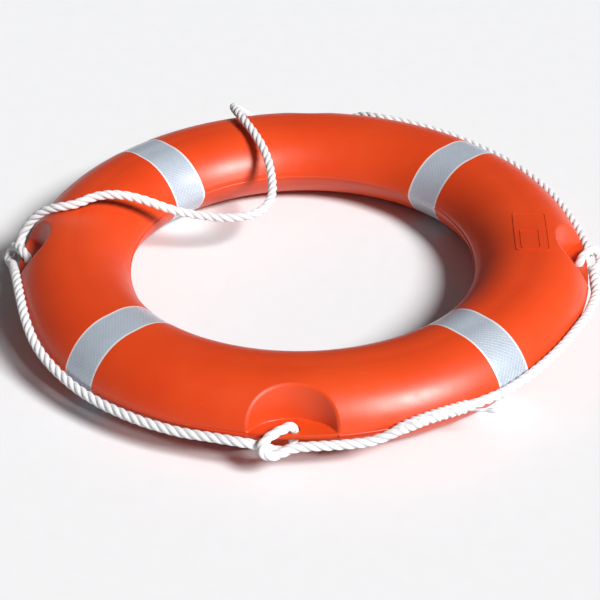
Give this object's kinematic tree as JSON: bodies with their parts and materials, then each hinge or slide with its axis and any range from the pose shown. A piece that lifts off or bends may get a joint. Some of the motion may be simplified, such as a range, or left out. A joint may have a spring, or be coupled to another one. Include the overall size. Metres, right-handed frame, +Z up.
{
  "type": "ring lifebuoy",
  "caption": "Foam-filled moulded ring lifebuoy with reflective tapes, rope recesses and a laid grab line hitched through its webs.",
  "frame": {"origin": "on the ring's axis, at the plane that the underside stands on", "axes": "+Z up along the ring's axis, with a rope recess on each of +X, +Y, -X and -Y and the raised blank frame on the top at +X"},
  "size_m": [0.7806, 0.7806, 0.1201],
  "materials": {
    "shell": "orange moulded polyethylene, satin",
    "foam": "closed-cell polyurethane foam",
    "plug": "orange polyethylene, smooth",
    "tape": "retro-reflective tape with a fine cell pattern",
    "rope": "white three-strand synthetic rope"
  },
  "bodies": {
    "root": {"foam_core": "foam", "foam_fill_plug": "plug", "foam_vent_plug": "plug", "shell_upper": "shell", "shell_lower": "shell", "tape_back_left": "tape", "tape_back_right": "tape", "tape_front_left": "tape", "tape_front_right": "tape", "grabline_front_left": "rope", "grabline_front_right": "rope", "grabline_splice": "rope", "grabline_right_front": "rope", "grabline_back_right": "rope", "grabline_back_left": "rope", "hitch_front": "rope", "hitch_right": "rope", "hitch_back": "rope", "hitch_left": "rope"}
  },
  "joints": []
}
